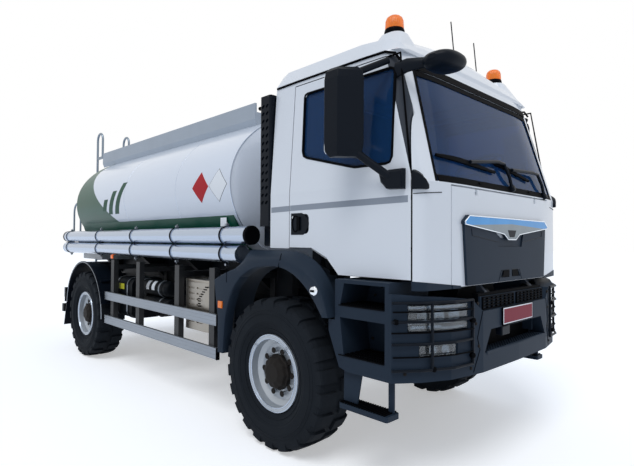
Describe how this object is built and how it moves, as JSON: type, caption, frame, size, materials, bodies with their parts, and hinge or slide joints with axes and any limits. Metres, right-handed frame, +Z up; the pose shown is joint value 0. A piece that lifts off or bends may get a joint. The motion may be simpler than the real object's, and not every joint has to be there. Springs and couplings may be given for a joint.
{
  "type": "tanker truck",
  "caption": "Two-axle all-wheel-drive road tanker with a short tilting cab, an oval tank, side hose tubes and a rear ladder.",
  "frame": {"origin": "centre of the bounding box's base, on the ground midway along the vehicle", "axes": "+X forward, +Y to the vehicle's left, +Z up"},
  "size_m": [6.9346, 2.7996, 3.5367],
  "materials": {
    "tyre_rubber": "moulded",
    "wheel_silver": "satin silver paint",
    "chassis_black": "satin black paint",
    "cab_white": "gloss white paint",
    "pane_glass": "tinted",
    "trim_plastic": "grained dark grey",
    "lamp_lens": "clear moulded",
    "beacon_amber": "amber moulded",
    "guard_aluminium": "mill finish",
    "brushed_steel": "brushed stainless",
    "tank_white": "gloss white paint with a dark green band",
    "frame_green": "gloss dark green paint",
    "cabinet_grey": "satin grey paint",
    "seat_cloth": "woven"
  },
  "bodies": {
    "chassis": {"chassis_frame": "chassis_black", "front_axle": "chassis_black", "rear_axle": "chassis_black", "engine_block": "chassis_black", "driveline": "chassis_black", "air_tanks": "chassis_black", "strap_tank": "chassis_black", "fuel_tank": "guard_aluminium", "silencer": "brushed_steel", "rear_bar": "chassis_black", "side_guard_right": "guard_aluminium", "side_guard_left": "guard_aluminium", "bumper": "trim_plastic", "headlamp_right": "lamp_lens", "headlamp_left": "lamp_lens", "lamp_guard_right": "trim_plastic", "lamp_guard_left": "trim_plastic", "step_right": "trim_plastic", "step_left": "trim_plastic", "front_fender_right": "trim_plastic", "front_fender_left": "trim_plastic", "rear_mudguard_right": "trim_plastic", "rear_mudguard_left": "trim_plastic", "tank_subframe": "frame_green", "tank_barrel": "tank_white", "walkway": "guard_aluminium", "hose_tubes_right": "guard_aluminium", "hose_tubes_left": "guard_aluminium", "rear_cabinet": "cabinet_grey", "rear_ladder": "guard_aluminium", "intake_snorkel": "trim_plastic"},
    "knuckle_right": {"knuckle_right": "chassis_black"},
    "knuckle_left": {"knuckle_left": "chassis_black"},
    "tie_rod": {"tie_rod": "chassis_black"},
    "wheel_front_right": {"wheel_front_right": "wheel_silver", "tyre_front_right": "tyre_rubber"},
    "wheel_front_left": {"wheel_front_left": "wheel_silver", "tyre_front_left": "tyre_rubber"},
    "wheel_rear_right": {"wheel_rear_right": "wheel_silver", "tyre_rear_right": "tyre_rubber"},
    "wheel_rear_left": {"wheel_rear_left": "wheel_silver", "tyre_rear_left": "tyre_rubber"},
    "cab": {"cab_shell": "cab_white", "cab_roof": "cab_white", "windscreen": "pane_glass", "seats": "seat_cloth", "roof_beacons": "beacon_amber", "roof_antennas": "trim_plastic", "kerb_mirror": "trim_plastic"},
    "front_flap": {"front_flap": "cab_white", "grille_panel": "trim_plastic"},
    "door_right": {"door_right": "cab_white", "door_glass_right": "pane_glass", "mirror_right": "trim_plastic"},
    "door_left": {"door_left": "cab_white", "door_glass_left": "pane_glass", "mirror_left": "trim_plastic"},
    "steering_wheel": {"steering_wheel": "trim_plastic"},
    "manlid_front": {"manlid_front": "guard_aluminium"},
    "manlid_rear": {"manlid_rear": "guard_aluminium"}
  },
  "joints": [
    {"name": "steer_right", "type": "hinge", "parent": "chassis", "child": "knuckle_right", "pos_m": [2, -0.9, 0.585], "axis": [0, 0, 1], "range_deg": [-32, 32]},
    {"name": "roll_front_right", "type": "hinge", "parent": "knuckle_right", "child": "wheel_front_right", "pos_m": [2, -1.066, 0.585], "axis": [0, 1, 0], "continuous": true},
    {"name": "roll_rear_right", "type": "hinge", "parent": "chassis", "child": "wheel_rear_right", "pos_m": [-2.1, -1.066, 0.585], "axis": [0, 1, 0], "continuous": true},
    {"name": "steer_left", "type": "hinge", "parent": "chassis", "child": "knuckle_left", "pos_m": [2, 0.9, 0.585], "axis": [0, 0, 1], "range_deg": [-32, 32]},
    {"name": "roll_front_left", "type": "hinge", "parent": "knuckle_left", "child": "wheel_front_left", "pos_m": [2, 1.066, 0.585], "axis": [0, 1, 0], "continuous": true},
    {"name": "roll_rear_left", "type": "hinge", "parent": "chassis", "child": "wheel_rear_left", "pos_m": [-2.1, 1.066, 0.585], "axis": [0, 1, 0], "continuous": true},
    {"name": "tie_rod_ball", "type": "hinge", "parent": "knuckle_right", "child": "tie_rod", "pos_m": [1.795, -0.9, 0.5695], "axis": [0, 0, 1], "range_deg": [-32, 32]},
    {"name": "cab_tilt", "type": "hinge", "parent": "chassis", "child": "cab", "pos_m": [3.3, 0, 1.25], "axis": [0, 1, 0], "range_deg": [0, 60]},
    {"name": "steering_wheel_turn", "type": "hinge", "parent": "cab", "child": "steering_wheel", "pos_m": [2.81255, 0.54, 2.29966], "axis": [-0.361, 0, 0.9326], "range_deg": [-512, 512]},
    {"name": "door_right_swing", "type": "hinge", "parent": "cab", "child": "door_right", "pos_m": [3.19, -1.094, 1.72], "axis": [0, 0, 1], "range_deg": [0, 75]},
    {"name": "door_left_swing", "type": "hinge", "parent": "cab", "child": "door_left", "pos_m": [3.19, 1.094, 1.72], "axis": [0, 0, -1], "range_deg": [0, 75]},
    {"name": "front_flap_lift", "type": "hinge", "parent": "cab", "child": "front_flap", "pos_m": [3.301, 0, 1.962], "axis": [0, -1, 0], "range_deg": [0, 80]},
    {"name": "manlid_front_lift", "type": "hinge", "parent": "chassis", "child": "manlid_front", "pos_m": [0.21, 0, 2.985], "axis": [0, -1, 0], "range_deg": [0, 100]},
    {"name": "manlid_rear_lift", "type": "hinge", "parent": "chassis", "child": "manlid_rear", "pos_m": [-1.79, 0, 2.985], "axis": [0, -1, 0], "range_deg": [0, 100]}
  ],
  "couplings": [
    {"joint": "steer_left", "follows": "steer_right", "ratio": 1},
    {"joint": "tie_rod_ball", "follows": "steer_right", "ratio": -1},
    {"joint": "steering_wheel_turn", "follows": "steer_right", "ratio": 16}
  ]
}
